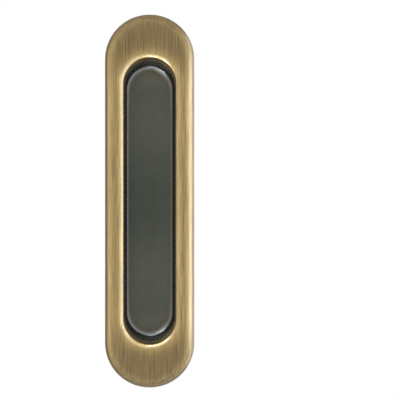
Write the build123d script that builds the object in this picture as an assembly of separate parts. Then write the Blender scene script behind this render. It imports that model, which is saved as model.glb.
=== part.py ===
from build123d import *
import math
import os

# Flush pull for a sliding door: a clip-on metal face plate, the moulded finger cup
# that it clips into, and the two screws that hold the cup to the door.
#
# Frame, in millimetres: X across the pull, Z up along it, Y into the door.
# The origin is the middle of the pull on the surface of the door, so the front
# face lies at a negative Y and the cup reaches into the door along +Y.

# Face plate
PLATE_LENGTH = 150.4
PLATE_WIDTH = 36.0
PLATE_RISE = 3.0  # front face above the surface of the door
PLATE_WALL = 1.2
SKIRT_HEIGHT = 0.5  # straight edge below the rolled shoulder
SHOULDER_SLOPE = 60.0  # degrees to which the shoulder is rolled
SHOULDER_LAND = 0.1  # straight slope between the roll and the skirt
OPENING_LENGTH = 115.0
OPENING_WIDTH = 21.0
LIP_ROLL = 2.8  # outside radius of the edge that is rolled in round the opening
LIP_SLOPE = 50.0  # degrees to which the edge is rolled
LIP_LAND = 0.2  # straight slope between the roll and the wall of the opening
LIP_BEND = 0.8  # inside radius of the rolled edge
LIP_REACH = 4.0  # how far the lip goes in below the surface of the door
LEAD_IN = 0.4  # bevel on the edge that enters first, of the lip and of the collar

# Finger cup
WELL_DEPTH = 13.0  # from the front face to the floor of the well
CUP_WALL = 1.5
CUP_DRAFT = 1.0  # degrees
FLOOR_ROUND = 2.0

# Snaps that hold the plate on the cup
SNAP_SPACING = 52.0  # along the pull, between the two snaps of one side
SNAP_LENGTH = 8.0
SNAP_ROUND = 0.5  # radius of the half-round bead
SNAP_INSET = 1.0  # middle of the bead above the tip of the lip

# Fixing screws, countersunk
SCREW_LENGTH = 16.0
SCREW_DIAMETER = 3.0  # over the thread
THREAD_DEPTH = 0.3
SCREW_NECK_LENGTH = 0.6  # plain neck below the head
SCREW_HEAD_DIAMETER = 6.0
SCREW_HEAD_ANGLE = 90.0  # degrees
SCREW_TIP_LENGTH = 3.0
RECESS_SPAN = 3.2  # cross recess in the head
RECESS_SLOT = 0.8
RECESS_DEPTH = 1.1
RECESS_TAPER = 8.0  # degrees

# Clearances
FIT_GAP = 0.15  # beside the parts that slide together
SEAT_GAP = 0.2  # below the tip of the lip and above the heads of the screws
SNAP_GAP = 0.2  # round each bead in its window
SCREW_HOLE_GAP = 0.2  # round the screw in its hole

# Depths that follow, measured along Y from the surface of the door
FACE = -PLATE_RISE
UNDERSIDE = FACE + PLATE_WALL  # back of the face plate, where the flange bears
SURFACE = 0.0
SHELF = LIP_REACH + SEAT_GAP  # step in the cup below the lip
COLLAR_END = SHELF + CUP_WALL
FLOOR = FACE + WELL_DEPTH
CUP_BACK = FLOOR + CUP_WALL
BEAD_DEPTH = LIP_REACH - SNAP_INSET
HEAD_TOP = UNDERSIDE + SEAT_GAP
SCREW_CONE_SLOPE = math.tan(math.radians(SCREW_HEAD_ANGLE / 2))  # radius lost per depth

# Steps outward from the edge of the opening, the same on the sides and the ends
LIP_OUTSIDE = PLATE_WALL
COLLAR_INSIDE = LIP_OUTSIDE + FIT_GAP
COLLAR_OUTSIDE = COLLAR_INSIDE + CUP_WALL

# Step inward from the outer edge of the plate
FLANGE_INSET = PLATE_WALL + FIT_GAP

# Shoulder: its slope drops to the skirt, and the roll takes off its upper corner
SHOULDER_DROP = PLATE_RISE - SKIRT_HEIGHT
SHOULDER_RUN = SHOULDER_DROP / math.tan(math.radians(SHOULDER_SLOPE))
SHOULDER_TANGENT = SHOULDER_DROP / math.sin(math.radians(SHOULDER_SLOPE)) - SHOULDER_LAND
SHOULDER_ROLL = SHOULDER_TANGENT / math.tan(math.radians(SHOULDER_SLOPE / 2))

# Lip: the same, from the roll that is given down to the wall of the opening
LIP_SLANT = LIP_ROLL * math.tan(math.radians(LIP_SLOPE / 2)) + LIP_LAND
LIP_RUN = LIP_SLANT * math.cos(math.radians(LIP_SLOPE))
LIP_DROP = LIP_SLANT * math.sin(math.radians(LIP_SLOPE))

# Inside, the bends are bevelled, which keeps the wall about even
LIP_BEVEL = (2 - math.sqrt(2)) * LIP_BEND  # touches the inside radius
SHOULDER_CENTRE = SHOULDER_RUN + SHOULDER_TANGENT  # centre of the roll, in from the edge of the plate
SHOULDER_INSIDE = SHOULDER_ROLL - PLATE_WALL  # inside radius of the roll
SHOULDER_BEVEL = SHOULDER_CENTRE - PLATE_WALL - (math.sqrt(2) - 1) * SHOULDER_INSIDE

# The screws stand midway between the collar and the end of the flange
FLANGE_REACH = PLATE_LENGTH / 2 - FLANGE_INSET
COLLAR_REACH = OPENING_LENGTH / 2 + COLLAR_OUTSIDE
SCREW_SPACING = FLANGE_REACH + COLLAR_REACH


def stadium_prism(width, length, front, back, draft=0.0):
    """Solid with straight sides and round ends, from one depth to a deeper one."""
    plane = Plane(origin=(0, front, 0), x_dir=(1, 0, 0), z_dir=(0, 1, 0))
    outline = plane * SlotOverall(length, width, rotation=90)
    return extrude(outline, amount=back - front, taper=draft)


def opening_prism(step, front, back, draft=0.0):
    """Stadium that stands a step outside the edge of the plate's opening."""
    grow = 2 * step
    return stadium_prism(OPENING_WIDTH + grow, OPENING_LENGTH + grow, front, back, draft)


def plate_prism(step, front, back):
    """Stadium that stands a step inside the outer edge of the plate."""
    return stadium_prism(PLATE_WIDTH - 2 * step, PLATE_LENGTH - 2 * step, front, back)


def front_face(solid):
    """The flat face that looks out of the door furthest."""
    return solid.faces().filter_by(Plane.XZ).sort_by(Axis.Y)[0]


def back_face(solid):
    """The flat face that lies deepest in the door."""
    return solid.faces().filter_by(Plane.XZ).sort_by(Axis.Y)[-1]


def snap_places():
    """Side (-1 or 1) and height of each snap."""
    heights = (-SNAP_SPACING / 2, SNAP_SPACING / 2)
    return [(side, height) for side in (-1, 1) for height in heights]


def screw_heights():
    """Height of each screw on the middle line of the pull."""
    return (-SCREW_SPACING / 2, SCREW_SPACING / 2)


def outer_edges(face):
    """Edges round the outside of a face."""
    return face.outer_wire().edges()


def inner_edges(face):
    """Edges round the opening in a face."""
    return face.inner_wires()[0].edges()


def roll_front(plate, edges_of, run, drop, radius):
    """Slopes an edge of the front and rounds the corner where the slope leaves the front."""
    front = front_face(plate)
    plate = plate.chamfer(run, drop, edges_of(front), front)
    return plate.fillet(radius, edges_of(front_face(plate)))


def make_face_plate():
    """Shell with a rolled shoulder, a lip rolled in round the opening and snap beads."""
    plate = plate_prism(0, FACE, SURFACE)
    plate += opening_prism(LIP_OUTSIDE, FACE, LIP_REACH)
    plate -= opening_prism(0, FACE, LIP_REACH)
    plate = roll_front(plate, outer_edges, SHOULDER_RUN, SHOULDER_DROP, SHOULDER_ROLL)
    plate = roll_front(plate, inner_edges, LIP_RUN, LIP_DROP, LIP_ROLL)

    hollow = plate_prism(PLATE_WALL, UNDERSIDE, SURFACE)
    hollow -= opening_prism(LIP_OUTSIDE, UNDERSIDE, SURFACE)
    hollow = hollow.chamfer(SHOULDER_BEVEL, None, outer_edges(front_face(hollow)))
    hollow = hollow.chamfer(LIP_BEVEL, None, inner_edges(front_face(hollow)))
    plate -= hollow

    plate = plate.chamfer(LEAD_IN, None, outer_edges(back_face(plate)))
    for side, height in snap_places():
        bead = Cylinder(SNAP_ROUND, SNAP_LENGTH)
        plate += Pos(side * (OPENING_WIDTH / 2 + LIP_OUTSIDE), BEAD_DEPTH, height) * bead
    return plate


def make_finger_cup():
    """Flange that bears on the door, collar that takes the lip, and the well below it."""
    flange = plate_prism(FLANGE_INSET, UNDERSIDE, SURFACE)
    flange = flange.chamfer(SHOULDER_BEVEL, None, front_face(flange).edges())
    collar = opening_prism(COLLAR_OUTSIDE, UNDERSIDE, COLLAR_END)
    collar = collar.chamfer(LEAD_IN, None, back_face(collar).edges())
    body = opening_prism(CUP_WALL, SHELF, CUP_BACK, CUP_DRAFT)
    body = body.fillet(FLOOR_ROUND + CUP_WALL, back_face(body).edges())
    cup = flange + collar + body

    well = opening_prism(0, SHELF, FLOOR, CUP_DRAFT)
    cup -= well.fillet(FLOOR_ROUND, back_face(well).edges())
    cup -= opening_prism(COLLAR_INSIDE, UNDERSIDE, SHELF)
    cup = cup.chamfer(LIP_BEVEL, None, inner_edges(front_face(cup)))

    window_depth = 2 * (SNAP_ROUND + SNAP_GAP)
    window_length = SNAP_LENGTH + 2 * SNAP_GAP
    for side, height in snap_places():
        window = Box(2 * CUP_WALL, window_depth, window_length)
        cup -= Pos(side * (OPENING_WIDTH / 2 + COLLAR_OUTSIDE), BEAD_DEPTH, height) * window
    for height in screw_heights():
        cup -= Pos(0, 0, height) * make_screw_hole()
    return cup


def turned_on_y(outline):
    """Solid of revolution about the Y axis from (radius, depth) points."""
    return revolve(make_face(Polyline(*outline, close=True)), Axis.Y)


def make_screw_hole():
    """Countersunk hole through the flange, as a cutting tool."""
    head_radius = SCREW_HEAD_DIAMETER / 2
    mouth_radius = head_radius + SCREW_CONE_SLOPE * (HEAD_TOP - UNDERSIDE)
    apex = HEAD_TOP + head_radius / SCREW_CONE_SLOPE
    countersink = turned_on_y([(0, UNDERSIDE), (mouth_radius, UNDERSIDE), (0, apex)])
    radius = SCREW_DIAMETER / 2 + SCREW_HOLE_GAP
    hole = turned_on_y([(0, UNDERSIDE), (radius, UNDERSIDE), (radius, SURFACE), (0, SURFACE)])
    return countersink + hole


def make_fixing_screw():
    """Countersunk wood screw on the Y axis, its thread as a plain shank."""
    head_radius = SCREW_HEAD_DIAMETER / 2
    thread_radius = SCREW_DIAMETER / 2
    neck_radius = thread_radius - THREAD_DEPTH
    head_end = HEAD_TOP + (head_radius - neck_radius) / SCREW_CONE_SLOPE
    thread_start = head_end + SCREW_NECK_LENGTH
    tip_end = HEAD_TOP + SCREW_LENGTH
    screw = turned_on_y(
        [
            (0, HEAD_TOP),
            (head_radius, HEAD_TOP),
            (neck_radius, head_end),
            (neck_radius, thread_start),
            (thread_radius, thread_start + THREAD_DEPTH),
            (thread_radius, tip_end - SCREW_TIP_LENGTH),
            (0, tip_end),
        ]
    )
    plane = Plane(origin=(0, HEAD_TOP, 0), x_dir=(1, 0, 0), z_dir=(0, 1, 0))
    cross = Rectangle(RECESS_SPAN, RECESS_SLOT) + Rectangle(RECESS_SLOT, RECESS_SPAN)
    return screw - extrude(plane * cross, amount=RECESS_DEPTH, taper=RECESS_TAPER)


def make_fixing_screws():
    """The screws as one group of separate solids."""
    return Compound([Pos(0, 0, height) * make_fixing_screw() for height in screw_heights()])


os.makedirs("parts", exist_ok=True)
export_step(make_face_plate(), "parts/face_plate.step")
export_step(make_finger_cup(), "parts/finger_cup.step")
export_step(make_fixing_screws(), "parts/fixing_screws.step")
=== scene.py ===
"""Looks of an oblong flush pull for a sliding door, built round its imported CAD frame.

A brushed antique-brass face plate clips over a dark moulded finger cup, and two countersunk
screws hold the cup to the door. The axes are those of the frame: +X across the pull, +Y into
the door and +Z up along the pull. Pieces are drawn in millimetres and scaled to metres once
they are whole; lamps, floor and camera are placed in metres.
"""

import logging
import math
from dataclasses import dataclass
from enum import Enum
from typing import Callable, Sequence

import bmesh
import bpy
from mathutils import Matrix, Vector

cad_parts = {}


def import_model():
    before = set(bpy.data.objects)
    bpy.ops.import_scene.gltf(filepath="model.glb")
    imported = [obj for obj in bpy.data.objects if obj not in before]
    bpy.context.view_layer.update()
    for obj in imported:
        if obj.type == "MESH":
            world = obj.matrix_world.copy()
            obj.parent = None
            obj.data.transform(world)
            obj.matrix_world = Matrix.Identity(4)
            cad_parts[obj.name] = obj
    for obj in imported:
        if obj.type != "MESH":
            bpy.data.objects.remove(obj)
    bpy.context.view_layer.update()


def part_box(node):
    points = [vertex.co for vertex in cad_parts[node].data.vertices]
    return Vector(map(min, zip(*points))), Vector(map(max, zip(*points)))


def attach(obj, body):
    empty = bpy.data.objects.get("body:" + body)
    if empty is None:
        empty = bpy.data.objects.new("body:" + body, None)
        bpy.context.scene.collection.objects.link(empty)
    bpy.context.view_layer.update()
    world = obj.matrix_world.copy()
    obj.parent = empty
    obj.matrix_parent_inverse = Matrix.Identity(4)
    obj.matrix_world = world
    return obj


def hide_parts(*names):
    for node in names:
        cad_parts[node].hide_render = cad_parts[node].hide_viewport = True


LOG = logging.getLogger("flush_pull")

Colour = tuple[float, float, float]
Place = tuple[float, float, float]
Point = tuple[float, float]
Socket = bpy.types.NodeSocket
Source = Socket | float | Sequence[float]

MM = 0.001
BODY = "root"

OPENING_WIDTH = 21.0  # millimetres
OPENING_LENGTH = 115.0

SIDE_STEPS = 40  # quads along each straight side of an outline
END_STEPS = 64  # quads round each end of an outline
TURN_STEPS = 64  # quads round a turned form
FLOOR_STEPS = 96  # edges round the floor
ROUND_STEPS = 14  # quads across a round that shows
BREAK_STEPS = 3  # quads across a broken edge
BREAK_LIMIT = 0.5  # a round of a smaller radius is a broken edge
SUPPORT = 0.12  # flat band beside each round that shows, for clean shading
SHARP_ANGLE = math.radians(30)
MERGE_DISTANCE = 1e-5


class Node(str, Enum):
    """CAD nodes that the pieces stand for."""

    FACE_PLATE = "face_plate"
    FINGER_CUP = "finger_cup"
    FIXING_SCREWS = "fixing_screws"


class Slot(str, Enum):
    """Material slots of the record."""

    ANTIQUE_BRASS = "antique_brass"
    CUP_PLASTIC = "cup_plastic"
    SCREW_STEEL = "screw_steel"


class Carving(str, Enum):
    """Ways in which a tool shapes a body."""

    CUT = "DIFFERENCE"
    JOIN = "UNION"


class Turn(Enum):
    """Directions as the camera sees them, in degrees from the right."""

    RIGHT = 0.0
    UP = 90.0
    LEFT = 180.0
    DOWN = 270.0


@dataclass(frozen=True)
class Stadium:
    """Outline with straight sides and round ends, about the middle of the pull, in millimetres."""

    half_width: float
    half_length: float

    @property
    def half_side(self) -> float:
        """Half the length of a straight side."""
        return self.half_length - self.half_width

    def grown(self, step: float) -> "Stadium":
        """The outline that lies a step further out."""
        return Stadium(self.half_width + step, self.half_length + step)

    def samples(self) -> list[Point]:
        """Points round the outline.

        Returns:
            The (x, z) points, from the foot of the right side up and round to the left.
        """
        side, width = self.half_side, self.half_width
        rise = [2 * side * i / SIDE_STEPS - side for i in range(SIDE_STEPS)]
        turns = [math.pi * i / END_STEPS for i in range(END_STEPS)]
        right = [(width, z) for z in rise]
        top = [(width * math.cos(a), side + width * math.sin(a)) for a in turns]
        half = right + top
        return half + [(-x, -z) for x, z in half]


@dataclass(frozen=True)
class Ring:
    """An outline at one depth."""

    outline: Stadium
    depth: float


@dataclass(frozen=True)
class Corner:
    """Corner of a section, a step outside an outline, sharp or rounded."""

    outline: Stadium
    step: float
    depth: float
    radius: float = 0.0

    @property
    def place(self) -> Vector:
        """Where the corner lies in the section through the middle of the sides."""
        return Vector((self.outline.half_width + self.step, self.depth))

    def ring_at(self, place: Vector) -> Ring:
        """The ring of this corner's outline through a point of the section."""
        return Ring(self.outline.grown(place.x - self.outline.half_width), place.y)

    def rings(self, before: Vector, after: Vector) -> list[Ring]:
        """Rings that carry the corner round.

        Args:
            before: Section point that the corner is reached from.
            after: Section point that it leads to.

        Returns:
            One ring for a sharp corner, or those across its round and the bands beside it
            where there is room for them.
        """
        if not self.radius:
            return [self.ring_at(self.place)]
        back = (before - self.place).normalized()
        on = (after - self.place).normalized()
        half_angle = back.angle(on) / 2
        tangent = self.radius / math.tan(half_angle)
        centre = self.place + (back + on).normalized() * self.radius / math.sin(half_angle)
        first = self.place + back * tangent - centre
        last = self.place + on * tangent - centre
        sweep = math.pi - 2 * half_angle
        shows = self.radius >= BREAK_LIMIT
        steps = ROUND_STEPS if shows else BREAK_STEPS
        places = []
        for i in range(steps + 1):
            share = i / steps
            spoke = first * math.sin((1 - share) * sweep) + last * math.sin(share * sweep)
            places.append(centre + spoke / math.sin(sweep))
        if shows and (before - self.place).length - tangent > 2 * SUPPORT:
            places.insert(0, places[0] + back * SUPPORT)
        if shows and (after - self.place).length - tangent > 2 * SUPPORT:
            places.append(places[-1] + on * SUPPORT)
        return [self.ring_at(place) for place in places]


def section_rings(corners: Sequence[Corner], closed: bool) -> list[Ring]:
    """Rings along a section.

    Args:
        corners: Corners of the section in order.
        closed: Whether the last corner leads back to the first.

    Returns:
        The rings in order, rounds included.
    """
    places = [corner.place for corner in corners]
    rings: list[Ring] = []
    for i, corner in enumerate(corners):
        at_end = not closed and i in (0, len(corners) - 1)
        before = corner.place if at_end else places[i - 1]
        after = corner.place if at_end else places[(i + 1) % len(places)]
        rings += corner.rings(before, after)
    return rings


class Blank:
    """Mesh in the making, in millimetres."""

    def __init__(self) -> None:
        """Starts with nothing in it."""
        self.mesh = bmesh.new()

    def bridge(self, loops: Sequence[Sequence[bmesh.types.BMVert]], closed: bool) -> None:
        """Joins loops of equal count with quads.

        Args:
            loops: Loops of vertices in order.
            closed: Whether the last loop joins the first.
        """
        follow = list(loops[1:]) + ([loops[0]] if closed else [])
        for near, far in zip(loops, follow):
            for i in range(len(near)):
                j = (i + 1) % len(near)
                self.mesh.faces.new((near[i], near[j], far[j], far[i]))

    def loft(self, rings: Sequence[Ring], closed: bool) -> "Blank":
        """Adds the skin through a run of rings.

        Args:
            rings: Rings in order; one of no width closes the skin along the middle line.
            closed: Whether the last ring joins the first.

        Returns:
            This blank.
        """
        loops = []
        for ring in rings:
            points = ring.outline.samples()
            loops.append([self.mesh.verts.new((x, ring.depth, z)) for x, z in points])
        self.bridge(loops, closed)
        return self

    def turn(
        self,
        profile: Sequence[Point],
        height: float,
        swell: Callable[[float, float], float] | None = None,
    ) -> "Blank":
        """Adds a form turned about an axis along Y.

        Args:
            profile: (radius, depth) points, closed by a zero radius at both ends.
            height: Place of the axis along the pull.
            swell: Radius to add at a depth and an angle.

        Returns:
            This blank.
        """
        loops = []
        for radius, depth in profile:
            loop = []
            for i in range(TURN_STEPS):
                angle = math.tau * i / TURN_STEPS
                reach = radius + (swell(depth, angle) if swell else 0.0)
                point = (reach * math.cos(angle), depth, height + reach * math.sin(angle))
                loop.append(self.mesh.verts.new(point))
            loops.append(loop)
        self.bridge(loops, closed=False)
        return self

    def block(self, middle: Sequence[float], size: Sequence[float], inset: float = 0.0) -> "Blank":
        """Adds a box whose deep face may be smaller.

        Args:
            middle: Middle of the box.
            size: Its size along X, Y and Z at the shallow face.
            inset: How far each edge of the deep face stands in.

        Returns:
            This blank.
        """
        x, y, z = middle
        width, thickness, height = size
        loops = []
        for end, cut in ((-0.5, 0.0), (0.5, inset)):
            u, w = width / 2 - cut, height / 2 - cut
            corners = ((-u, -w), (u, -w), (u, w), (-u, w))
            depth = y + end * thickness
            loops.append([self.mesh.verts.new((x + i, depth, z + j)) for i, j in corners])
        self.bridge(loops, closed=False)
        for loop in loops:
            self.mesh.faces.new(loop)
        return self

    def rod(self, middle: Sequence[float], radius: float, length: float) -> "Blank":
        """Adds a round bar that lies along the pull.

        Args:
            middle: Middle of the bar.
            radius: Its radius.
            length: Its length.

        Returns:
            This blank.
        """
        bmesh.ops.create_cone(
            self.mesh,
            cap_ends=True,
            segments=TURN_STEPS // 2,
            radius1=radius,
            radius2=radius,
            depth=length,
            matrix=Matrix.Translation(middle),
        )
        return self

    def done(self, name: str) -> bpy.types.Object:
        """Ends the making.

        Args:
            name: Name of the new object.

        Returns:
            The object, still in millimetres, with its faces looking out.
        """
        bmesh.ops.remove_doubles(self.mesh, verts=self.mesh.verts[:], dist=MERGE_DISTANCE)
        bmesh.ops.recalc_face_normals(self.mesh, faces=self.mesh.faces[:])
        data = bpy.data.meshes.new(name)
        self.mesh.to_mesh(data)
        self.mesh.free()
        made = bpy.data.objects.new(name, data)
        bpy.context.scene.collection.objects.link(made)
        return made


def carve(body: bpy.types.Object, tool: bpy.types.Object, carving: Carving) -> None:
    """Shapes a body with a tool, which is used up.

    Args:
        body: Object that is shaped.
        tool: Closed form to cut out of it or join to it.
        carving: Which of the two.
    """
    step = body.modifiers.new("carving", "BOOLEAN")
    step.operation = carving.value
    step.solver = "EXACT"
    step.object = tool
    graph = bpy.context.evaluated_depsgraph_get()
    carved = bpy.data.meshes.new_from_object(body.evaluated_get(graph))
    body.modifiers.remove(step)
    plain = body.data
    body.data = carved
    bpy.data.meshes.remove(plain)
    bpy.data.objects.remove(tool)


def fit_out(piece: bpy.types.Object, node: Node, finish: bpy.types.Material) -> None:
    """Scales a finished piece to metres, shades it and puts it in its node's place.

    Args:
        piece: Object in millimetres.
        node: CAD node that it stands for.
        finish: Material that it wears.
    """
    piece.data.transform(Matrix.Scale(MM, 4))
    piece.data.shade_smooth()
    piece.data.set_sharp_from_angle(angle=SHARP_ANGLE)
    piece.data.materials.clear()
    piece.data.materials.append(finish)
    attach(piece, BODY)
    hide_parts(node.value)
    LOG.info("%s stands for %s with %d faces", piece.name, node.value, len(piece.data.polygons))


@dataclass(frozen=True)
class Layout:
    """Outlines and depths that the pieces share, in millimetres."""

    plate: Stadium
    flange: Stadium
    opening: Stadium
    face: float
    underside: float
    lip_end: float
    cup_back: float
    head_top: float
    screw_tip: float
    head_radius: float
    screw_height: float
    surface: float = 0.0

    @classmethod
    def from_frame(cls, opening_width: float, opening_length: float) -> "Layout":
        """Reads the layout from the boxes of the CAD nodes.

        Args:
            opening_width: Width of the opening in the plate.
            opening_length: Its length.

        Returns:
            The layout.
        """
        plate_low, plate_high = (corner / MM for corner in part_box(Node.FACE_PLATE.value))
        cup_low, cup_high = (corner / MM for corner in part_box(Node.FINGER_CUP.value))
        screw_low, screw_high = (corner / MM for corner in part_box(Node.FIXING_SCREWS.value))
        return cls(
            plate=Stadium(plate_high.x, plate_high.z),
            flange=Stadium(cup_high.x, cup_high.z),
            opening=Stadium(opening_width / 2, opening_length / 2),
            face=plate_low.y,
            underside=cup_low.y,
            lip_end=plate_high.y,
            cup_back=cup_high.y,
            head_top=screw_low.y,
            screw_tip=screw_high.y,
            head_radius=screw_high.x,
            screw_height=screw_high.z - screw_high.x,
        )

    @property
    def plate_wall(self) -> float:
        """Thickness of the plate."""
        return self.underside - self.face

    @property
    def fit_gap(self) -> float:
        """Clearance beside the parts that slide together."""
        return self.plate.half_width - self.plate_wall - self.flange.half_width


@dataclass(frozen=True)
class Snaps:
    """Four half-round beads on the lip and their windows in the collar, in millimetres."""

    spacing: float = 52.0
    length: float = 8.0
    radius: float = 0.5
    inset: float = 1.0
    gap: float = 0.2

    def places(self, reach: float, lip_end: float) -> list[Vector]:
        """Middles of the beads, or of their windows.

        Args:
            reach: How far they are from the middle line.
            lip_end: Depth where the lip ends.

        Returns:
            The four middles.
        """
        depth = lip_end - self.inset
        heights = (-self.spacing / 2, self.spacing / 2)
        return [Vector((side * reach, depth, height)) for side in (-1, 1) for height in heights]


class Wiring:
    """Shader node tree with short calls that add nodes and join them."""

    MIX_INPUTS = (0, 6, 7)  # the share and the two colours of a mix of colours
    MIX_OUTPUT = 2

    def __init__(self, tree: bpy.types.NodeTree) -> None:
        """Works on a node tree."""
        self.tree = tree

    def add(self, kind: str, **settings: object) -> bpy.types.Node:
        """Adds a node.

        Args:
            kind: Type of the node.
            **settings: Some of its settings by name.

        Returns:
            The node.
        """
        node = self.tree.nodes.new(kind)
        for name, value in settings.items():
            setattr(node, name, value)
        return node

    def feed(self, socket: Socket, source: Source) -> None:
        """Links a socket to its source, or sets it to a plain value.

        Args:
            socket: Input of a node.
            source: Output of another node, a number or a colour.
        """
        if isinstance(source, Socket):
            self.tree.links.new(source, socket)
        elif socket.type == "RGBA":
            socket.default_value = (*source, 1.0)
        else:
            socket.default_value = source

    def math(self, operation: str, first: Source, second: Source = 0.0) -> Socket:
        """Works out a number.

        Args:
            operation: What is done.
            first: First number.
            second: Second number, where the operation takes one.

        Returns:
            The result.
        """
        node = self.add("ShaderNodeMath", operation=operation)
        self.feed(node.inputs[0], first)
        self.feed(node.inputs[1], second)
        return node.outputs[0]

    def ramp(
        self, value: Source, start: Source, end: Source, low: Source = 0.0, high: Source = 1.0
    ) -> Socket:
        """Changes smoothly from low to high as a value goes from start to end.

        Args:
            value: What the change follows.
            start: Value where it begins.
            end: Value where it ends.
            low: Result up to the start.
            high: Result from the end on.

        Returns:
            The result.
        """
        node = self.add("ShaderNodeMapRange", interpolation_type="SMOOTHSTEP")
        for socket, source in zip(node.inputs, (value, start, end, low, high)):
            self.feed(socket, source)
        return node.outputs[0]

    def fade(self, distance: Source, start: float, length: float) -> Socket:
        """One up to a distance, and from there a decay over a length."""
        past = self.math("DIVIDE", self.math("SUBTRACT", start, distance), length)
        return self.math("MINIMUM", self.math("EXPONENT", past), 1.0)

    def blend(self, share: Source, first: Source, second: Source, mode: str = "MIX") -> Socket:
        """Mixes two colours.

        Args:
            share: How much of the second colour there is.
            first: First colour.
            second: Second colour.
            mode: How they mix.

        Returns:
            The mix.
        """
        node = self.add("ShaderNodeMix", data_type="RGBA", blend_type=mode)
        for index, source in zip(self.MIX_INPUTS, (share, first, second)):
            self.feed(node.inputs[index], source)
        return node.outputs[self.MIX_OUTPUT]

    def position(self) -> Socket:
        """Reads the place on the pull.

        Returns:
            The place in millimetres.
        """
        place = self.add("ShaderNodeTexCoord").outputs["Object"]
        scaled = self.add("ShaderNodeVectorMath", operation="SCALE")
        self.feed(scaled.inputs[0], place)
        scaled.inputs["Scale"].default_value = 1 / MM
        return scaled.outputs[0]

    def axes(self, vector: Source) -> tuple[Socket, ...]:
        """Takes a vector apart.

        Args:
            vector: Any vector.

        Returns:
            Its three parts.
        """
        node = self.add("ShaderNodeSeparateXYZ")
        self.feed(node.inputs[0], vector)
        return tuple(node.outputs)

    def use(self, group: bpy.types.NodeTree, inputs: dict[str, Source]) -> Socket:
        """Places a node group.

        Args:
            group: The group.
            inputs: What feeds its inputs, by name.

        Returns:
            Its first output.
        """
        node = self.add("ShaderNodeGroup", node_tree=group)
        for name, source in inputs.items():
            self.feed(node.inputs[name], source)
        return node.outputs[0]


@dataclass(frozen=True)
class GroupSocket:
    """Named input of a node group."""

    name: str
    kind: str = "NodeSocketFloat"


def start_group(
    name: str, inputs: Sequence[GroupSocket], output: str
) -> tuple[bpy.types.NodeTree, Wiring, bpy.types.Node, bpy.types.Node]:
    """Starts a shader node group with one number as its output.

    Args:
        name: Name of the group.
        inputs: Its inputs.
        output: Name of its output.

    Returns:
        The group, its wiring, and the nodes that hold its inputs and its output.
    """
    tree = bpy.data.node_groups.new(name, "ShaderNodeTree")
    for socket in inputs:
        tree.interface.new_socket(name=socket.name, in_out="INPUT", socket_type=socket.kind)
    tree.interface.new_socket(name=output, in_out="OUTPUT", socket_type="NodeSocketFloat")
    wires = Wiring(tree)
    return tree, wires, wires.add("NodeGroupInput"), wires.add("NodeGroupOutput")


class SharedEffects:
    """Node groups that more than one finish uses."""

    GRAIN_DETAIL = 2.0
    GRAIN_GAIN = 3.2  # brings the noise, which keeps near its middle, to about -1 to 1

    def __init__(self) -> None:
        """Builds each group once."""
        self.outline_offset = self._outline_offset()
        self.drawn_grain = self._drawn_grain()

    def offset(self, wires: Wiring, position: Source, outline: Stadium) -> Socket:
        """Places the distance outside an outline in a material.

        Args:
            wires: Wiring of the material.
            position: Place on the pull.
            outline: The outline.

        Returns:
            The distance, in millimetres.
        """
        inputs = {
            "Position": position,
            "Half Width": outline.half_width,
            "Half Length": outline.half_length,
        }
        return wires.use(self.outline_offset, inputs)

    def grain(self, wires: Wiring, position: Source, size: Point, seed: float) -> Socket:
        """Grain of a width and a length in a material."""
        inputs = {"Position": position, "Width": size[0], "Length": size[1], "Seed": seed}
        return wires.use(self.drawn_grain, inputs)

    @staticmethod
    def _outline_offset() -> bpy.types.NodeTree:
        """Builds the distance outside a round-ended outline, negative inside it.

        Returns:
            The group, in millimetres.
        """
        inputs = [
            GroupSocket("Position", "NodeSocketVector"),
            GroupSocket("Half Width"),
            GroupSocket("Half Length"),
        ]
        tree, wires, given, result = start_group("outline_offset", inputs, "Offset")
        x, _, z = wires.axes(given.outputs["Position"])
        half_width, half_length = given.outputs["Half Width"], given.outputs["Half Length"]
        half_side = wires.math("SUBTRACT", half_length, half_width)
        past = wires.math("SUBTRACT", wires.math("ABSOLUTE", z), half_side)
        past = wires.math("MAXIMUM", past, 0.0)
        square = wires.math("ADD", wires.math("MULTIPLY", x, x), wires.math("MULTIPLY", past, past))
        offset = wires.math("SUBTRACT", wires.math("SQRT", square), half_width)
        wires.feed(result.inputs["Offset"], offset)
        return tree

    @classmethod
    def _drawn_grain(cls) -> bpy.types.NodeTree:
        """Builds noise about zero, drawn out along the pull where it is longer than wide.

        Returns:
            The group.
        """
        inputs = [
            GroupSocket("Position", "NodeSocketVector"),
            GroupSocket("Width"),
            GroupSocket("Length"),
            GroupSocket("Seed"),
        ]
        tree, wires, given, result = start_group("drawn_grain", inputs, "Grain")
        x, y, z = wires.axes(given.outputs["Position"])
        place = wires.add("ShaderNodeCombineXYZ")
        for socket, part, size in zip(place.inputs, (x, y, z), ("Width", "Width", "Length")):
            part = wires.math("DIVIDE", part, given.outputs[size])
            wires.feed(socket, wires.math("ADD", part, given.outputs["Seed"]))
        noise = wires.add("ShaderNodeTexNoise")
        noise.inputs["Scale"].default_value = 1.0
        noise.inputs["Detail"].default_value = cls.GRAIN_DETAIL
        wires.feed(noise.inputs["Vector"], place.outputs[0])
        level = wires.math("SUBTRACT", noise.outputs[0], 0.5)
        wires.feed(result.inputs["Grain"], wires.math("MULTIPLY", level, cls.GRAIN_GAIN))
        return tree


def start_material(name: str) -> tuple[bpy.types.Material, Wiring, bpy.types.Node]:
    """Starts a material.

    Args:
        name: Name of the material.

    Returns:
        The material, its wiring and its shader.
    """
    material = bpy.data.materials.new(name)
    material.use_nodes = True
    material.node_tree.nodes.clear()
    wires = Wiring(material.node_tree)
    shader = wires.add("ShaderNodeBsdfPrincipled")
    output = wires.add("ShaderNodeOutputMaterial")
    wires.feed(output.inputs["Surface"], shader.outputs["BSDF"])
    return material, wires, shader


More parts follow.
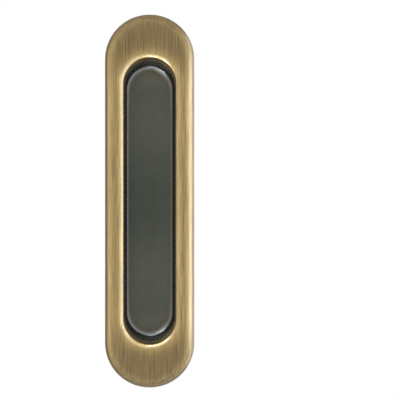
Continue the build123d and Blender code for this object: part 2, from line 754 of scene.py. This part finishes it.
def roughen(wires: Wiring, shader: bpy.types.Node, height: Source, relief: float) -> None:
    """Bumps a shader's surface.

    Args:
        wires: Wiring of the material.
        shader: Its shader.
        height: Height of the surface, about -1 to 1.
        relief: What a height of one stands for, in millimetres.
    """
    bump = wires.add("ShaderNodeBump")
    bump.inputs["Distance"].default_value = relief * MM
    wires.feed(bump.inputs["Height"], height)
    wires.feed(shader.inputs["Normal"], bump.outputs["Normal"])


@dataclass(frozen=True)
class AntiqueBrass:
    """Darkened brass, brushed along the pull, rubbed back at its edges and lacquered; the lighter
    edges are partly real wear and partly a painted highlight.
    """

    layout: Layout
    effects: SharedEffects
    patina: Colour = (0.163, 0.116, 0.052)
    rubbed_and_highlight: Colour = (0.593, 0.398, 0.125)
    lip_share: float = 0.85  # how much of the patina is rubbed off the lip, as real wear and a painted highlight
    lip_rub_highlight_start: float = 0.31  # from the edge of the opening
    lip_rub_highlight_fade: float = 1.78
    shoulder_highlight_rise: Point = (0.66, 1.83)  # from the edge of the plate, where the rubbing and its painted highlight begin; the skirt keeps the patina
    shoulder_rub_highlight_start: float = 1.13
    shoulder_rub_highlight_fade: float = 1.42
    end_rub_highlight_share: float = 0.28  # how much of the shoulder's rubbing and painted highlight reaches the ends
    side_end: Point = (44.9, 75.0)  # along the pull, from side to end
    broad_streak: Point = (1.2, 45.0)
    fine_streak: Point = (0.36, 12.0)
    hairline: Point = (0.14, 7.0)
    broad_depth: float = 0.11
    fine_depth: float = 0.46
    roughness: float = 0.385
    roughness_spread: float = 0.05
    wall_depth: Point = (-1.9, -1.32)  # where the unbrushed wall of the opening begins
    wall_reach: Point = (0.3, 1.0)
    wall_roughness: float = 0.51
    wall_rub_highlight_share: float = 0.4  # how much of the rubbing and painted highlight is on the wall
    anisotropy: float = 0.45
    hairline_relief: float = 0.004
    coat: Point = (0.04, 0.95)  # weight on patina and on the rubbed brass with its painted highlight
    coat_roughness: float = 0.1
    coat_index: float = 1.99
    broad_seed: float = 3.7
    fine_seed: float = 11.3
    hairline_seed: float = 23.1

    def rub_and_highlight(self, wires: Wiring, position: Source, lip_offset: Source) -> Socket:
        """Finds how far the patina is rubbed back and a highlight painted on, most on the lip, less
        on the shoulder's sides and least at its ends.

        Args:
            wires: Wiring of the material.
            position: Place on the pull.
            lip_offset: Distance outside the opening.

        Returns:
            A share from zero to one.
        """
        # Lip: rubbed brass, partly real wear and partly a painted highlight.
        lip = wires.fade(lip_offset, self.lip_rub_highlight_start, self.lip_rub_highlight_fade)
        lip = wires.math("MULTIPLY", lip, self.lip_share)
        # Shoulder: rubbing and a painted highlight on its crown; the skirt keeps the patina.
        outside = self.effects.offset(wires, position, self.layout.plate)
        inset = wires.math("MULTIPLY", outside, -1.0)
        shoulder = wires.fade(inset, self.shoulder_rub_highlight_start, self.shoulder_rub_highlight_fade)
        shoulder = wires.math("MULTIPLY", shoulder, wires.ramp(inset, *self.shoulder_highlight_rise))
        # The shoulder's painted highlight fades towards the ends of the pull.
        along = wires.math("ABSOLUTE", wires.axes(position)[2])
        side = wires.ramp(along, *self.side_end, 1.0, self.end_rub_highlight_share)
        shoulder = wires.math("MULTIPLY", shoulder, side)
        return wires.math("MINIMUM", wires.math("ADD", lip, shoulder), 1.0)

    def material(self) -> bpy.types.Material:
        """Builds the material.

        Returns:
            The material.
        """
        material, wires, shader = start_material(Slot.ANTIQUE_BRASS.value)
        position = wires.position()
        lip_offset = self.effects.offset(wires, position, self.layout.opening)
        wall = wires.ramp(wires.axes(position)[1], *self.wall_depth)
        wall = wires.math("MULTIPLY", wall, wires.ramp(lip_offset, *self.wall_reach, 1.0, 0.0))
        rub_and_highlight_share = self.rub_and_highlight(wires, position, lip_offset)
        # Less of the rubbing and painted highlight on the wall of the opening.
        rub_and_highlight_share = wires.math("MULTIPLY", rub_and_highlight_share, wires.ramp(wall, 0.0, 1.0, 1.0, self.wall_rub_highlight_share))
        broad = self.effects.grain(wires, position, self.broad_streak, self.broad_seed)
        fine = self.effects.grain(wires, position, self.fine_streak, self.fine_seed)
        marks = wires.math(
            "ADD",
            wires.math("MULTIPLY", broad, self.broad_depth),
            wires.math("MULTIPLY", fine, self.fine_depth),
        )
        # Patina mixed with lighter brass that stands for both rubbing and a painted highlight.
        tone = wires.blend(rub_and_highlight_share, self.patina, self.rubbed_and_highlight)
        level = wires.add("ShaderNodeCombineColor")
        for socket in level.inputs:
            wires.feed(socket, wires.math("ADD", marks, 1.0))
        tone = wires.blend(1.0, tone, level.outputs[0], "MULTIPLY")
        wires.feed(shader.inputs["Base Color"], tone)
        shader.inputs["Metallic"].default_value = 1.0
        spread = wires.math("MULTIPLY", fine, self.roughness_spread)
        rough = wires.ramp(wall, 0.0, 1.0, self.roughness, self.wall_roughness)
        wires.feed(shader.inputs["Roughness"], wires.math("ADD", spread, rough))
        shader.inputs["Anisotropic"].default_value = self.anisotropy
        wires.feed(shader.inputs["Coat Weight"], wires.ramp(rub_and_highlight_share, 0.0, 1.0, *self.coat))
        shader.inputs["Coat Roughness"].default_value = self.coat_roughness
        shader.inputs["Coat IOR"].default_value = self.coat_index
        hairlines = self.effects.grain(wires, position, self.hairline, self.hairline_seed)
        roughen(wires, shader, hairlines, self.hairline_relief)
        return material


@dataclass(frozen=True)
class SatinPlastic:
    """Near-black moulded plastic with a fine satin grain, polished in use, with painted light on
    the floor of the well.
    """

    layout: Layout
    effects: SharedEffects
    plain_plastic: Colour = (0.019, 0.019, 0.011)  # walls and back
    base: Colour = (0.0231, 0.0308, 0.013)  # floor of the well
    # Painted light on the floor: lighter towards the ends, near the end walls and towards the
    # right.
    painted_light: Colour = (0.118, 0.1161, 0.0761)
    well_end: Point = (1.3, 0.7)  # from the back, where the inside of the well ends
    painted_light_inset: Point = (0.4, 1.6)  # from the edge of the opening, where the painted light on the floor begins
    painted_light_along: Point = (4.0, 32.0)  # from the middle, along the pull, where the painted light rises
    along_share: float = 0.346
    # Painted light near the end walls, where shade falls.
    painted_light_ends: Point = (45.0, 56.0)
    ends_share: float = 0.581
    # Painted light towards the right of the floor.
    painted_light_across: Point = (0.0, 9.0)
    across_share: float = 0.195
    cloud: Point = (6.0, 6.0)
    cloud_share: float = 0.06
    grain: Point = (0.16, 0.16)
    roughness: float = 0.27
    roughness_spread: float = 0.04
    grain_relief: float = 0.003
    polish_inset: Point = (0.25, 0.8533)  # start and middle of the polished band
    polish_reach: Point = (1.74, 3.1)  # its end, at the sides and at the ends
    polish: float = 0.23  # its weight at the sides
    polish_ends: Point = (0.26, 0.85)  # its weight at the ends, and where they are worn most
    worn_rise: Point = (1.0, 4.6)  # across the pull, up to the place that is worn most
    worn_fall: Point = (5.2, 8.6)  # and on from there
    polish_along: Point = (36.0, 54.0)
    polish_index: float = 3.0
    polish_roughness: float = 0.2
    cloud_seed: float = 5.9
    grain_seed: float = 17.3

    def material(self) -> bpy.types.Material:
        """Builds the material.

        Returns:
            The material.
        """
        material, wires, shader = start_material(Slot.CUP_PLASTIC.value)
        position = wires.position()
        clouds = self.effects.grain(wires, position, self.cloud, self.cloud_seed)
        grain = self.effects.grain(wires, position, self.grain, self.grain_seed)
        across, depth, along = wires.axes(position)
        along = wires.math("ABSOLUTE", along)
        limits = [self.layout.cup_back - step for step in self.well_end]
        well = wires.ramp(depth, *limits, -1.0, 0.0)
        inset = self.effects.offset(wires, position, self.layout.opening)
        inset = wires.math("MULTIPLY", inset, well)
        mottle_and_painted_light = wires.math("MULTIPLY", clouds, self.cloud_share)
        # Random mottle plus painted light along the pull, near the ends and towards the right.
        for place, span, share in (
            (along, self.painted_light_along, self.along_share),
            (along, self.painted_light_ends, self.ends_share),
            (across, self.painted_light_across, self.across_share),
        ):
            mottle_and_painted_light = wires.math("ADD", mottle_and_painted_light, wires.ramp(place, *span, 0.0, share))
        floor = wires.blend(mottle_and_painted_light, self.base, self.painted_light)
        # The painted light lies on the floor only; walls and back keep the plain plastic.
        tone = wires.blend(wires.ramp(inset, *self.painted_light_inset), self.plain_plastic, floor)
        wires.feed(shader.inputs["Base Color"], tone)
        rough = wires.math("MULTIPLY", clouds, self.roughness_spread)
        wires.feed(shader.inputs["Roughness"], wires.math("ADD", rough, self.roughness))
        start, middle = self.polish_inset
        reach = wires.ramp(along, *self.polish_along, *self.polish_reach)
        rise = wires.ramp(across, *self.worn_rise)
        fall = wires.ramp(across, *self.worn_fall, 1.0, 0.0)
        ends = wires.ramp(wires.math("MULTIPLY", rise, fall), 0.0, 1.0, *self.polish_ends)
        polish = wires.ramp(along, *self.polish_along, self.polish, ends)
        polish = wires.math("MULTIPLY", polish, wires.ramp(inset, start, middle))
        polish = wires.math("MULTIPLY", polish, wires.ramp(inset, middle, reach, 1.0, 0.0))
        wires.feed(shader.inputs["Coat Weight"], polish)
        shader.inputs["Coat IOR"].default_value = self.polish_index
        shader.inputs["Coat Roughness"].default_value = self.polish_roughness
        roughen(wires, shader, grain, self.grain_relief)
        return material


@dataclass(frozen=True)
class ZincPlatedSteel:
    """Bright zinc plating with a faint cloudy bloom."""

    effects: SharedEffects
    bright: Colour = (0.62, 0.62, 0.60)
    bloom: Colour = (0.50, 0.51, 0.53)
    cloud: Point = (1.1, 1.1)
    grain: Point = (0.12, 0.12)
    roughness: float = 0.3
    roughness_spread: float = 0.08
    grain_relief: float = 0.003
    cloud_seed: float = 7.1
    grain_seed: float = 2.9

    def material(self) -> bpy.types.Material:
        """Builds the material.

        Returns:
            The material.
        """
        material, wires, shader = start_material(Slot.SCREW_STEEL.value)
        position = wires.position()
        clouds = self.effects.grain(wires, position, self.cloud, self.cloud_seed)
        grain = self.effects.grain(wires, position, self.grain, self.grain_seed)
        tone = wires.blend(wires.ramp(clouds, -1.0, 1.0), self.bright, self.bloom)
        wires.feed(shader.inputs["Base Color"], tone)
        shader.inputs["Metallic"].default_value = 1.0
        rough = wires.math("MULTIPLY", clouds, self.roughness_spread)
        wires.feed(shader.inputs["Roughness"], wires.math("ADD", rough, self.roughness))
        roughen(wires, shader, grain, self.grain_relief)
        return material


@dataclass(frozen=True)
class PlateBends:
    """Rolled shoulder and lip of the plate, and the bevels inside them, in millimetres."""

    layout: Layout
    skirt_height: float = 0.5
    shoulder_slope: float = 60.0  # degrees, where the roll ends
    shoulder_land: float = 0.1  # straight slope between the roll and the skirt
    lip_roll: float = 2.8
    lip_slope: float = 50.0  # degrees, where the roll ends
    lip_land: float = 0.2  # straight slope between the roll and the wall of the opening
    lip_bend: float = 0.8  # inside radius

    @property
    def shoulder_legs(self) -> Point:
        """How far the slope of the shoulder reaches along the front and down the edge."""
        drop = self.layout.surface - self.layout.face - self.skirt_height
        return drop / math.tan(math.radians(self.shoulder_slope)), drop

    @property
    def shoulder_tangent(self) -> float:
        """Length that the shoulder's roll takes off the front and off the slope."""
        return math.hypot(*self.shoulder_legs) - self.shoulder_land

    @property
    def shoulder_roll(self) -> float:
        """Radius of the shoulder's outside."""
        return self.shoulder_tangent / math.tan(math.radians(self.shoulder_slope / 2))

    @property
    def shoulder_bevel(self) -> float:
        """Fits the bevel that touches the shoulder's inside radius.

        Returns:
            Its leg.
        """
        wall = self.layout.plate_wall
        centre = self.shoulder_legs[0] + self.shoulder_tangent
        return centre - wall - (math.sqrt(2) - 1) * (self.shoulder_roll - wall)

    @property
    def lip_legs(self) -> Point:
        """Finds how far the slope of the lip reaches.

        Returns:
            Its reach along the front and down the wall.
        """
        slope = math.radians(self.lip_slope)
        slant = self.lip_roll * math.tan(slope / 2) + self.lip_land
        return slant * math.cos(slope), slant * math.sin(slope)

    @property
    def lip_bevel(self) -> float:
        """Leg of the bevel that touches the lip's inside radius."""
        return (2 - math.sqrt(2)) * self.lip_bend


@dataclass(frozen=True)
class FacePlate:
    """Thin shell with a rolled shoulder and a lip rolled in round the opening."""

    layout: Layout
    bends: PlateBends
    snaps: Snaps
    skirt_edge: float = 0.3
    lip_edge: float = 0.3
    lead_in: float = 0.4
    edge_break: float = 0.12

    def section(self) -> list[Corner]:
        """Lays out the section of the shell.

        Returns:
            Its corners, from the foot of the skirt over the front and the lip and back inside.
        """
        plate, opening = self.layout.plate, self.layout.opening
        wall = self.layout.plate_wall
        face, underside = self.layout.face, self.layout.underside
        surface, lip_end = self.layout.surface, self.layout.lip_end
        lip_bevel, shoulder_bevel = self.bends.lip_bevel, self.bends.shoulder_bevel
        lip_run, lip_drop = self.bends.lip_legs
        shoulder_run, shoulder_drop = self.bends.shoulder_legs
        return [
            Corner(plate, 0.0, surface, self.edge_break),
            Corner(plate, 0.0, face + shoulder_drop, self.skirt_edge),
            Corner(plate, -shoulder_run, face, self.bends.shoulder_roll),
            Corner(opening, lip_run, face, self.bends.lip_roll),
            Corner(opening, 0.0, face + lip_drop, self.lip_edge),
            Corner(opening, 0.0, lip_end, self.edge_break),
            Corner(opening, wall - self.lead_in, lip_end),
            Corner(opening, wall, lip_end - self.lead_in),
            Corner(opening, wall, underside + lip_bevel),
            Corner(opening, wall + lip_bevel, underside),
            Corner(plate, -wall - shoulder_bevel, underside),
            Corner(plate, -wall, underside + shoulder_bevel),
            Corner(plate, -wall, surface, self.edge_break),
        ]

    def build(self, finish: bpy.types.Material) -> bpy.types.Object:
        """Makes the plate with its snap beads.

        Args:
            finish: Material of the plate.

        Returns:
            The finished piece.
        """
        rings = section_rings(self.section(), closed=True)
        plate = Blank().loft(rings, closed=True).done("brass_face_plate")
        beads = Blank()
        reach = self.layout.opening.half_width + self.layout.plate_wall
        for middle in self.snaps.places(reach, self.layout.lip_end):
            beads.rod(middle, self.snaps.radius, self.snaps.length)
        carve(plate, beads.done("snap_beads"), Carving.JOIN)
        fit_out(plate, Node.FACE_PLATE, finish)
        return plate


@dataclass(frozen=True)
class FixingScrews:
    """Two countersunk wood screws with a cross recess."""

    layout: Layout
    shank_radius: float = 1.5  # over the thread
    core_radius: float = 1.2
    cone_slope: float = 1.0  # radius lost per depth under the head
    neck_length: float = 0.6
    tip_length: float = 3.0
    rim: float = 0.12
    pitch: float = 1.35
    ridge_share: float = 0.3  # half the width of the thread's ridge, of the pitch
    row_height: float = 0.09
    recess_span: float = 3.2
    recess_slot: float = 0.8
    recess_depth: float = 1.1
    recess_taper: float = 8.0  # degrees
    hole_gap: float = 0.2

    @property
    def neck(self) -> Point:
        """Finds the plain neck under the head.

        Returns:
            The depths where it starts and ends.
        """
        cone = (self.layout.head_radius - self.core_radius) / self.cone_slope
        start = self.layout.head_top + cone
        return start, start + self.neck_length

    @property
    def heights(self) -> Point:
        """Places of the two screws along the pull."""
        return -self.layout.screw_height, self.layout.screw_height

    def thread(self, depth: float, angle: float) -> float:
        """Finds how far the thread stands proud of the core.

        Args:
            depth: Depth along the screw.
            angle: Angle round it.

        Returns:
            The height of the thread there.
        """
        proud = self.shank_radius - self.core_radius
        start = min(max((depth - self.neck[1]) / proud, 0.0), 1.0)
        end = min((self.layout.screw_tip - depth) / self.tip_length, 1.0)
        phase = (depth / self.pitch - angle / math.tau) % 1.0
        ridge = max(1 - abs(phase - 0.5) / self.ridge_share, 0.0)
        return proud * ridge * start * end

    def profile(self) -> list[Point]:
        """Lays out a screw without its thread.

        Returns:
            Its (radius, depth) points.
        """
        top, tip = self.layout.head_top, self.layout.screw_tip
        head = self.layout.head_radius
        neck_start, neck_end = self.neck
        points = [
            (0.0, top),
            (head - self.rim, top),
            (head, top + self.rim / 2),
            (head - self.rim / 2, top + self.rim),
            (self.core_radius, neck_start),
        ]
        rows = round((tip - neck_end) / self.row_height)
        for i in range(rows):
            depth = neck_end + (tip - neck_end) * i / rows
            points.append((self.core_radius * min((tip - depth) / self.tip_length, 1.0), depth))
        return points + [(0.0, tip)]

    def holes(self) -> bpy.types.Object:
        """Makes the countersunk holes through the flange.

        Returns:
            A cutting tool.
        """
        front, back = self.layout.underside, self.layout.surface
        slack = self.layout.plate_wall
        mouth = self.layout.head_radius + self.cone_slope * (self.layout.head_top - front)
        bore = self.shank_radius + self.hole_gap
        bore_start = front + (mouth - bore) / self.cone_slope
        tool = Blank()
        for height in self.heights:
            outline = [(0.0, front - slack), (mouth + self.cone_slope * slack, front - slack)]
            outline += [(bore, bore_start), (bore, back + slack), (0.0, back + slack)]
            tool.turn(outline, height)
        return tool.done("screw_holes")

    def recesses(self) -> bpy.types.Object:
        """Makes the tapered cross recesses for the driver.

        Returns:
            A cutting tool.
        """
        depth = 2 * self.recess_depth
        inset = depth * math.tan(math.radians(self.recess_taper))
        span, slot = self.recess_span + inset, self.recess_slot + inset
        tool = Blank()
        for height in self.heights:
            tool.block((0.0, self.layout.head_top, height), (span, depth, slot), inset)
        cross = tool.done("recess_bars")
        upright = Blank()
        for height in self.heights:
            upright.block((0.0, self.layout.head_top, height), (slot, depth, span), inset)
        carve(cross, upright.done("recess_uprights"), Carving.JOIN)
        return cross

    def build(self, finish: bpy.types.Material) -> bpy.types.Object:
        """Makes the two screws.

        Args:
            finish: Material of the screws.

        Returns:
            The finished piece.
        """
        screws = Blank()
        for height in self.heights:
            screws.turn(self.profile(), height, self.thread)
        made = screws.done("countersunk_screws")
        carve(made, self.recesses(), Carving.CUT)
        fit_out(made, Node.FIXING_SCREWS, finish)
        return made


@dataclass(frozen=True)
class FingerCup:
    """Moulded flange and collar behind the plate, and the finger well."""

    layout: Layout
    bends: PlateBends
    snaps: Snaps
    screws: FixingScrews
    wall: float = 1.5
    draft: float = 1.0  # degrees
    floor_round: float = 2.0
    seat_gap: float = 0.2
    lead_in: float = 0.4
    edge_break: float = 0.12

    def section(self) -> list[Corner]:
        """Lays out the section of the cup.

        Returns:
            Its corners, from the middle of the floor up, over the flange and round to the back.
        """
        opening, flange = self.layout.opening, self.layout.flange
        underside, surface = self.layout.underside, self.layout.surface
        back = self.layout.cup_back
        floor = back - self.wall
        shelf = self.layout.lip_end + self.seat_gap
        collar_end = shelf + self.wall
        slope = math.tan(math.radians(self.draft))
        inside = self.layout.plate_wall + self.layout.fit_gap
        outside = inside + self.wall
        middle = -opening.half_width
        lip_bevel, shoulder_bevel = self.bends.lip_bevel, self.bends.shoulder_bevel
        edge = self.edge_break
        return [
            Corner(opening, middle, floor),
            Corner(opening, slope * (shelf - floor), floor, self.floor_round),
            Corner(opening, 0.0, shelf, edge),
            Corner(opening, inside, shelf, edge),
            Corner(opening, inside, underside + lip_bevel),
            Corner(opening, inside + lip_bevel, underside),
            Corner(flange, -shoulder_bevel, underside),
            Corner(flange, 0.0, underside + shoulder_bevel),
            Corner(flange, 0.0, surface, edge),
            Corner(opening, outside, surface, edge),
            Corner(opening, outside, collar_end - self.lead_in),
            Corner(opening, outside - self.lead_in, collar_end),
            Corner(opening, self.wall + slope * (shelf - collar_end), collar_end, edge),
            Corner(opening, self.wall + slope * (shelf - back), back, self.floor_round + self.wall),
            Corner(opening, middle, back),
        ]

    def windows(self) -> bpy.types.Object:
        """Makes the windows in the collar for the snap beads.

        Returns:
            A cutting tool.
        """
        outside = self.layout.plate_wall + self.layout.fit_gap + self.wall
        reach = self.layout.opening.half_width + outside
        snaps = self.snaps
        size = (2 * self.wall, 2 * (snaps.radius + snaps.gap), snaps.length + 2 * snaps.gap)
        tool = Blank()
        for middle in snaps.places(reach, self.layout.lip_end):
            tool.block(middle, size)
        return tool.done("snap_windows")

    def build(self, finish: bpy.types.Material) -> bpy.types.Object:
        """Makes the cup.

        Args:
            finish: Material of the cup.

        Returns:
            The finished piece.
        """
        rings = section_rings(self.section(), closed=False)
        cup = Blank().loft(rings, closed=False).done("moulded_finger_cup")
        carve(cup, self.windows(), Carving.CUT)
        carve(cup, self.screws.holes(), Carving.CUT)
        fit_out(cup, Node.FINGER_CUP, finish)
        return cup


def swung(swing: float, turn: Turn, distance: float) -> Vector:
    """Finds a place before the pull.

    Args:
        swing: Angle from the line of the camera, in degrees.
        turn: Direction that it is swung in.
        distance: Distance from the pull.

    Returns:
        The place.
    """
    angle, way = math.radians(swing), math.radians(turn.value)
    outward = Vector((math.cos(way), 0.0, math.sin(way)))
    return distance * (math.sin(angle) * outward - math.cos(angle) * Vector((0.0, 1.0, 0.0)))


@dataclass(frozen=True)
class Panel:
    """Soft lamp, in metres, with or without a grid that narrows its beam."""

    name: str
    place: Vector
    width: float
    height: float
    radiance: float
    tint: Colour = (1.0, 1.0, 1.0)
    aim: Vector = Vector((0.0, 0.0, 0.0)).freeze()
    spread: float = 180.0  # degrees

    WATTS_PER_RADIANCE = 4.0  # per square metre of panel

    @property
    def beam_gain(self) -> float:
        """How much brighter the grid makes the lamp along its axis."""
        half = math.radians(self.spread) / 2
        return math.tan(half) / (math.tan(half) - half) if self.spread < 180 else 1.0

    def build(self) -> bpy.types.Object:
        """Places the lamp.

        Returns:
            The lamp.
        """
        lamp = bpy.data.lights.new(self.name, "AREA")
        lamp.shape = "RECTANGLE"
        lamp.size, lamp.size_y = self.width, self.height
        power = self.WATTS_PER_RADIANCE * self.radiance * self.width * self.height
        lamp.energy = power / self.beam_gain
        lamp.spread = math.radians(self.spread)
        lamp.color = self.tint
        placed = bpy.data.objects.new(self.name, lamp)
        placed.location = self.place
        placed.rotation_euler = (self.aim - self.place).to_track_quat("-Z", "Y").to_euler()
        placed.visible_camera = False
        bpy.context.scene.collection.objects.link(placed)
        return placed


@dataclass(frozen=True)
class Studio:
    """Camera, lamps, white surroundings and a pale floor."""

    layout: Layout
    camera_distance: float = 0.203
    camera_near: float = 0.01
    lens: float = 45.2
    shift: Point = (0.1258, 0.0026)
    ambient: float = 0.7
    floor_height: float = -0.36
    floor_radius: float = 0.42
    floor_fade: float = 0.5  # share of the radius where the floor begins to fade out
    floor_colour: Colour = (0.92, 0.92, 0.91)
    floor_roughness: float = 0.8
    cool: Colour = (0.9, 1.01, 1.23)
    cold: Colour = (0.9, 1.05, 1.5)
    strip_place: Place = (-0.022, -0.075, 0.13)  # the upper one's
    corner_place: Place = (-0.125, -0.075, 0.08)  # the upper one's
    corner_aim: Point = (0.7, 0.3)  # across, and in from the end, in half widths of the opening
    spot_spread: float = 38.0  # degrees

    def spot(
        self, name: str, place: Place, lip: Point, side: float, size: Point, radiance: float
    ) -> Panel:
        """Describes a lamp beyond one end of the pull that lights the lip of the other.

        Args:
            name: Name of the lamp.
            place: Its place where it is beyond the upper end.
            lip: What it is aimed at, across and along the pull, in millimetres.
            side: One for beyond the upper end, minus one for beyond the lower.
            size: Its width and height.
            radiance: How bright it is.

        Returns:
            The lamp.
        """
        x, y, z = place
        across, along = lip
        width, height = size
        return Panel(
            name,
            Vector((x, y, side * z)),
            width=width,
            height=height,
            radiance=radiance,
            tint=self.cool,
            aim=Vector((across, self.layout.face, -side * along)) * MM,
            spread=self.spot_spread,
        )

    def panels(self) -> list[Panel]:
        """Lists the lamps.

        Returns:
            Three on the right, one on the left, and three each above and below.
        """
        panels = [
            Panel(
                "key_right",
                swung(60.52, Turn.RIGHT, distance=0.6),
                width=0.19,
                height=0.53,
                radiance=0.84,
                tint=self.cold,
            ),
            Panel(
                "broad_right",
                swung(48.77, Turn.RIGHT, distance=0.7),
                width=0.73,
                height=0.79,
                radiance=0.42,
                tint=self.cold,
            ),
            Panel(
                "rim_right",
                swung(104.0, Turn.RIGHT, distance=0.6),
                width=0.58,
                height=1.3,
                radiance=1.62,
                tint=self.cold,
            ),
            Panel(
                "fill_left",
                swung(27.78, Turn.LEFT, distance=0.6),
                width=0.22,
                height=0.47,
                radiance=0.23,
            ),
        ]
        opening = self.layout.opening
        across, inset = (share * opening.half_width for share in self.corner_aim)
        end = (0.0, opening.half_length)
        bend = (across, opening.half_length - inset)
        for name, turn, side in (("top", Turn.UP, 1.0), ("bottom", Turn.DOWN, -1.0)):
            broad = Panel(
                f"broad_{name}",
                swung(41.55, turn, distance=0.45),
                width=0.9,
                height=0.224,
                radiance=0.52,
                tint=self.cool,
            )
            strip = self.spot(
                f"strip_{name}", self.strip_place, end, side, size=(0.25, 0.07), radiance=5.0
            )
            corner = self.spot(
                f"corner_{name}", self.corner_place, bend, side, size=(0.11, 0.06), radiance=6.0
            )
            panels += [broad, strip, corner]
        return panels

    def surroundings(self) -> None:
        """White seen by the camera and in reflections, and a soft ambient light."""
        world = bpy.data.worlds.new("surroundings")
        world.use_nodes = True
        world.node_tree.nodes.clear()
        wires = Wiring(world.node_tree)
        path = wires.add("ShaderNodeLightPath")
        seen = wires.math("ADD", path.outputs["Is Camera Ray"], path.outputs["Is Glossy Ray"])
        seen = wires.math("ADD", seen, path.outputs["Is Transmission Ray"])
        seen = wires.math("MINIMUM", seen, 1.0)
        backdrop = wires.add("ShaderNodeBackground")
        wires.feed(backdrop.inputs["Color"], (1.0, 1.0, 1.0))
        wires.feed(backdrop.inputs["Strength"], wires.ramp(seen, 0.0, 1.0, self.ambient, 1.0))
        output = wires.add("ShaderNodeOutputWorld")
        wires.feed(output.inputs["Surface"], backdrop.outputs[0])
        bpy.context.scene.world = world

    def floor(self) -> bpy.types.Object:
        """Lays the pale round floor below the pull.

        Returns:
            The floor.
        """
        mesh = bmesh.new()
        bmesh.ops.create_circle(mesh, cap_ends=True, segments=FLOOR_STEPS, radius=self.floor_radius)
        data = bpy.data.meshes.new("pale_floor")
        mesh.to_mesh(data)
        mesh.free()
        floor = bpy.data.objects.new("pale_floor", data)
        floor.location.z = self.floor_height
        bpy.context.scene.collection.objects.link(floor)
        material, wires, shader = start_material("pale_floor")
        wires.feed(shader.inputs["Base Color"], self.floor_colour)
        shader.inputs["Roughness"].default_value = self.floor_roughness
        place = wires.add("ShaderNodeTexCoord").outputs["Object"]
        length = wires.add("ShaderNodeVectorMath", operation="LENGTH")
        wires.feed(length.inputs[0], place)
        start = self.floor_fade * self.floor_radius
        cover = wires.ramp(length.outputs["Value"], start, self.floor_radius, 1.0, 0.0)
        wires.feed(shader.inputs["Alpha"], cover)
        data.materials.append(material)
        return floor

    def camera(self) -> bpy.types.Object:
        """Puts the camera square in front of the pull.

        Returns:
            The camera.
        """
        lens = bpy.data.cameras.new("camera")
        lens.lens = self.lens
        lens.shift_x, lens.shift_y = self.shift
        lens.clip_start = self.camera_near
        camera = bpy.data.objects.new("camera", lens)
        camera.location = (0.0, -self.camera_distance, 0.0)
        camera.rotation_euler = (math.radians(90), 0.0, 0.0)
        bpy.context.scene.collection.objects.link(camera)
        bpy.context.scene.camera = camera
        return camera

    def build(self) -> None:
        """Sets up everything round the pull."""
        bpy.context.scene.view_settings.view_transform = "Standard"
        self.surroundings()
        self.floor()
        self.camera()
        for panel in self.panels():
            panel.build()


def main() -> None:
    """Builds the pull and its studio."""
    logging.basicConfig(level=logging.INFO, format="%(name)s: %(message)s")
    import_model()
    layout = Layout.from_frame(OPENING_WIDTH, OPENING_LENGTH)
    LOG.info("layout %s", layout)
    effects = SharedEffects()
    snaps = Snaps()
    screws = FixingScrews(layout)
    bends = PlateBends(layout)
    FacePlate(layout, bends, snaps).build(AntiqueBrass(layout, effects).material())
    FingerCup(layout, bends, snaps, screws).build(SatinPlastic(layout, effects).material())
    screws.build(ZincPlatedSteel(effects).material())
    Studio(layout).build()


if __name__ == "__main__":
    main()
